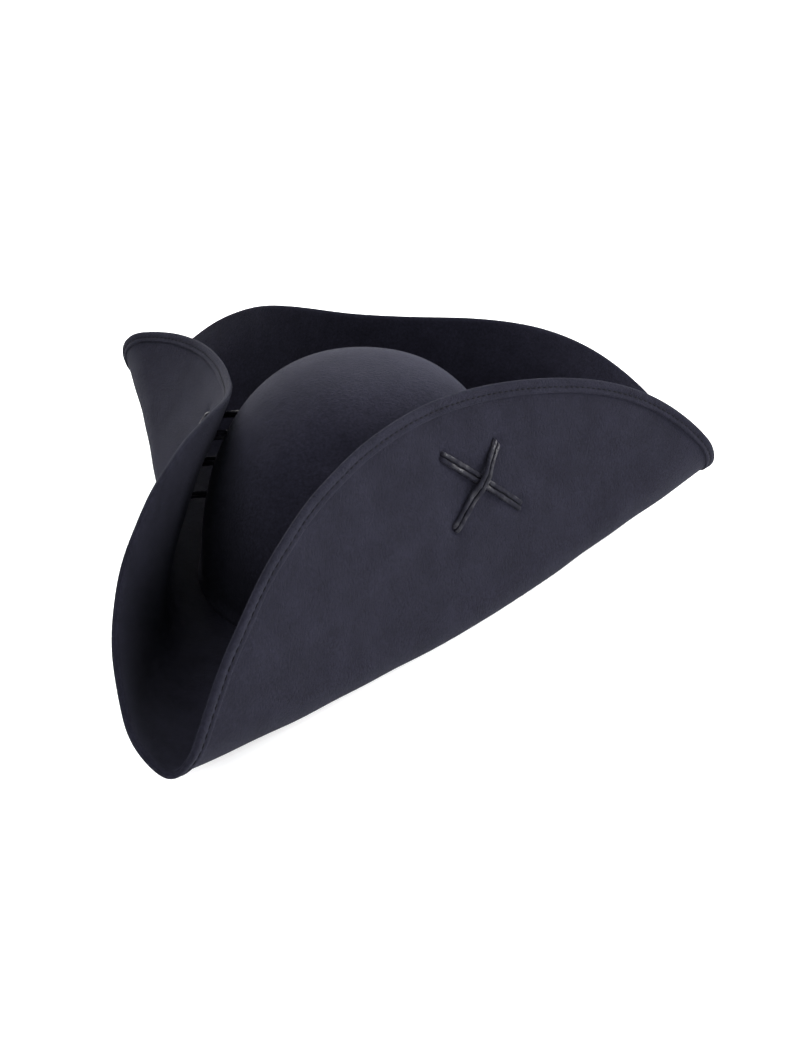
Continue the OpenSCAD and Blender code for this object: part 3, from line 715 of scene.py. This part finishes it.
def lace_route(flap, c):
    """The lace's points, from one loose end to the other, each with the direction
    that its outer side faces."""
    inward = np.append(-heading(flap[0]), 0)

    def strand(h, side):
        first = 0 if h < 2 else 2
        arm = np.subtract(ARM_HOLES[first + 1], ARM_HOLES[first])
        aside = unit(np.array([-arm[1], arm[0]], float)) * PAIR_HALF * side
        return on_flap(flap, c[0] + ARM_HOLES[h][0] + aside[0], c[1] + ARM_HOLES[h][1] + aside[1])

    def behind(p, depth):
        return brim_mid(p) + inward * depth

    def depth(p, d):
        return meet(brim_mid(p), inward, d, 0, 70)

    def at(h, side):
        p = strand(h, side)
        return behind(p, depth(p, WALL_OFF))

    def knot_at(d):
        return on_wall(sum(behind(p, depth(p, d)) for p in (strand(0, 1), strand(3, 1))) / 2, d)

    def inner(points):
        return [(p, into_hollow(p)) for p in points]

    def into(h, side, other):
        p = strand(h, side)
        away = unit(brim_mid(p) - brim_mid(strand(other, side)))
        turn = unit(into_hollow(at(h, side)) + away)
        return [(at(h, side), turn), (behind(p, depth(p, 0) - 2), away), (behind(p, 3), away)]

    def outer(h0, h1, side, over):
        a, b = strand(h0, side), strand(h1, side)
        low, high = LACE_OFF, LACE_OVER
        part_way = low * 0.7 + high * 0.3
        plan = ((0, low), (CROSSING - 0.30, low), (CROSSING - 0.19, part_way), (CROSSING - 0.08, high),
                (CROSSING + 0.08, high), (CROSSING + 0.19, part_way), (CROSSING + 0.30, low),
                (1, low)) if over else ((0, low), (0.3, low), (0.7, low), (1, low))
        flat = [a + (b - a) * s for s, _ in plan]
        return [(brim_off(p, np.array(-off)), -brim_normal(p)) for p, (_, off) in zip(flat, plan)]

    def inside(a, b, over):
        plan = ((0.28, WALL_OFF), (0.42, WALL_OVER), (0.62, WALL_OVER), (0.78, WALL_OFF)) if over else (
            (0.25, WALL_OFF), (0.5, WALL_OFF), (0.75, WALL_OFF))
        return inner([on_wall(a + (b - a) * s, d) for s, d in plan])

    def arm(h0, h1, side, over):
        return into(h0, side, h1) + outer(h0, h1, side, over) + into(h1, side, h0)[::-1]

    knot = knot_at(WALL_OFF)
    ahead = unit(at(0, 1) - knot)
    away = unit(knot - (at(1, 1) + at(2, 1)) / 2)
    route = inner([on_wall(knot - ahead * TAIL + away * 7, WALL_OFF), knot,
                   on_wall((knot + at(0, 1)) / 2, WALL_OFF)])
    route += arm(0, 1, 1, False) + inside(at(1, 1), at(0, -1), False)
    route += arm(0, 1, -1, False) + inside(at(1, -1), at(2, -1), False)
    route += arm(2, 3, -1, True) + inside(at(3, -1), at(2, 1), True)
    route += arm(2, 3, 1, True)
    route += inner([on_wall((knot + at(3, 1)) / 2, WALL_OVER), knot_at(WALL_OVER + 0.5),
                    on_wall(knot + ahead * TAIL + away * 7, WALL_OFF)])
    return route, knot_at((WALL_OFF + WALL_OVER) / 2 + 0.6), into_hollow(knot), ahead


def softened(values, reach_steps):
    """A running average along the first axis, that keeps the ends."""
    kernel = np.hanning(2 * reach_steps + 3)[1:-1]
    kernel /= kernel.sum()
    first, last = (np.repeat(end, reach_steps, 0) for end in (values[:1], values[-1:]))
    padded = np.concatenate([first, values, last])
    return np.stack([np.convolve(padded[:, i], kernel, "valid") for i in range(values.shape[1])], 1)


def cord_rings(points, faces_out, wide, thick, seed, step=0.55, sides=16):
    """Rings of a flattened, slightly uneven cord along a route."""
    run = np.concatenate([[0], np.cumsum(np.linalg.norm(np.diff(points, axis=0), axis=1))])
    s = np.arange(0, run[-1], step)
    path = softened(np.stack([np.interp(s, run, points[:, i]) for i in range(3)], 1), 4)
    out = softened(np.stack([np.interp(s, run, faces_out[:, i]) for i in range(3)], 1), 6)
    along = unit(np.gradient(path, axis=0))
    out = unit(out - along * (out * along).sum(-1, keepdims=True))
    side = np.cross(along, out)
    rock = 0.38 * np.sin(s * 0.23 + seed) + 0.22 * np.sin(s * 0.61 + 2 * seed)
    c, n = np.cos(rock)[:, None], np.sin(rock)[:, None]
    out, side = out * c + side * n, side * c - out * n
    a = np.radians(np.arange(sides) * 360 / sides)
    flat_cos = np.sign(np.cos(a)) * np.abs(np.cos(a)) ** 0.8
    flat_sin = np.sign(np.sin(a)) * np.abs(np.sin(a)) ** 0.8
    w = wide / 2 * (1 + 0.05 * np.sin(s * 0.9 + seed) + 0.04 * np.sin(s * 2.3 + seed))
    h = thick / 2 * (1 + 0.07 * np.sin(s * 1.3 + 3 * seed) + 0.05 * np.sin(s * 3.1))
    rings = (path[:, None] + (w[:, None] * flat_cos)[..., None] * side[:, None]
             - (h[:, None] * flat_sin)[..., None] * out[:, None])
    return rings


def make_lace(name, flap, c, seed):
    """One lace, whole: both arms of the cross, its runs inside the crown and its knot."""
    route, knot, hollow, ahead = lace_route(flap, c)
    points = np.array([p for p, _ in route])
    out = np.array([o for _, o in route])
    rings = cord_rings(points, out, *CORD, seed)
    points, faces = joined([rings])
    side = np.cross(hollow, ahead)
    t = np.linspace(0, 2 * np.pi, 40)[:-1]
    for turn, radius in ((0.0, 3.0), (1.1, 2.7)):
        cos_turn, sin_turn = math.cos(turn), math.sin(turn)
        level = ahead * cos_turn + side * sin_turn
        rising = 0.75 * hollow - 0.35 * ahead * sin_turn + 0.5 * side * cos_turn
        loop = knot + radius * np.cos(t)[:, None] * level + radius * np.sin(t)[:, None] * rising
        tangent = unit(np.roll(loop, -1, 0) - np.roll(loop, 1, 0))
        outward = unit(loop - knot)
        outward = unit(outward - tangent * (outward * tangent).sum(-1, keepdims=True))
        tube = rod(loop, np.cross(tangent, outward), outward, KNOT_HALF, KNOT_HALF, 12)
        faces += moved(quads(len(loop), 12, True), len(points))
        points += tube.reshape(-1, 3).tolist()
    return add_mesh(name + "_lace_cord", points, faces, LACE_LOOK, "lace", name + "_lace")


# ---------------------------------------------------------------- stage
def make_floor():
    mesh = bpy.data.meshes.new("floor")
    half, steps = 9.0, 12
    line = np.linspace(-half, half, steps + 1)
    x, y = np.meshgrid(line, line)
    points = np.stack([x, y, np.zeros_like(x)], -1).reshape(-1, 3)
    k = steps + 1
    corners = [i * k + j for i in range(steps) for j in range(steps)]
    faces = [[c, c + 1, c + k + 1, c + k] for c in corners]
    mesh.from_pydata(points.tolist(), [], faces)
    mesh.materials.append(floor_material())
    floor = bpy.data.objects.new("floor", mesh)
    bpy.context.scene.collection.objects.link(floor)


make_floor()
make_crown()
brim = make_brim()
edging = [make_hem(), make_wire(), make_hem_stitches()]

make_sweatband()
make_band_stitches()
make_label()
for index, (lace_name, (lace_flap, lace_middle)) in enumerate(LACES.items()):
    make_lace(lace_name, lace_flap, lace_middle, 1.0 + 2.3 * index)

for node_name, look in (("wire_sleeve", SLEEVE_LOOK), ("headline_tape", TAPE_LOOK)):
    cad_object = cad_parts[node_name]
    for material_slot in cad_object.material_slots:
        material_slot.material = look
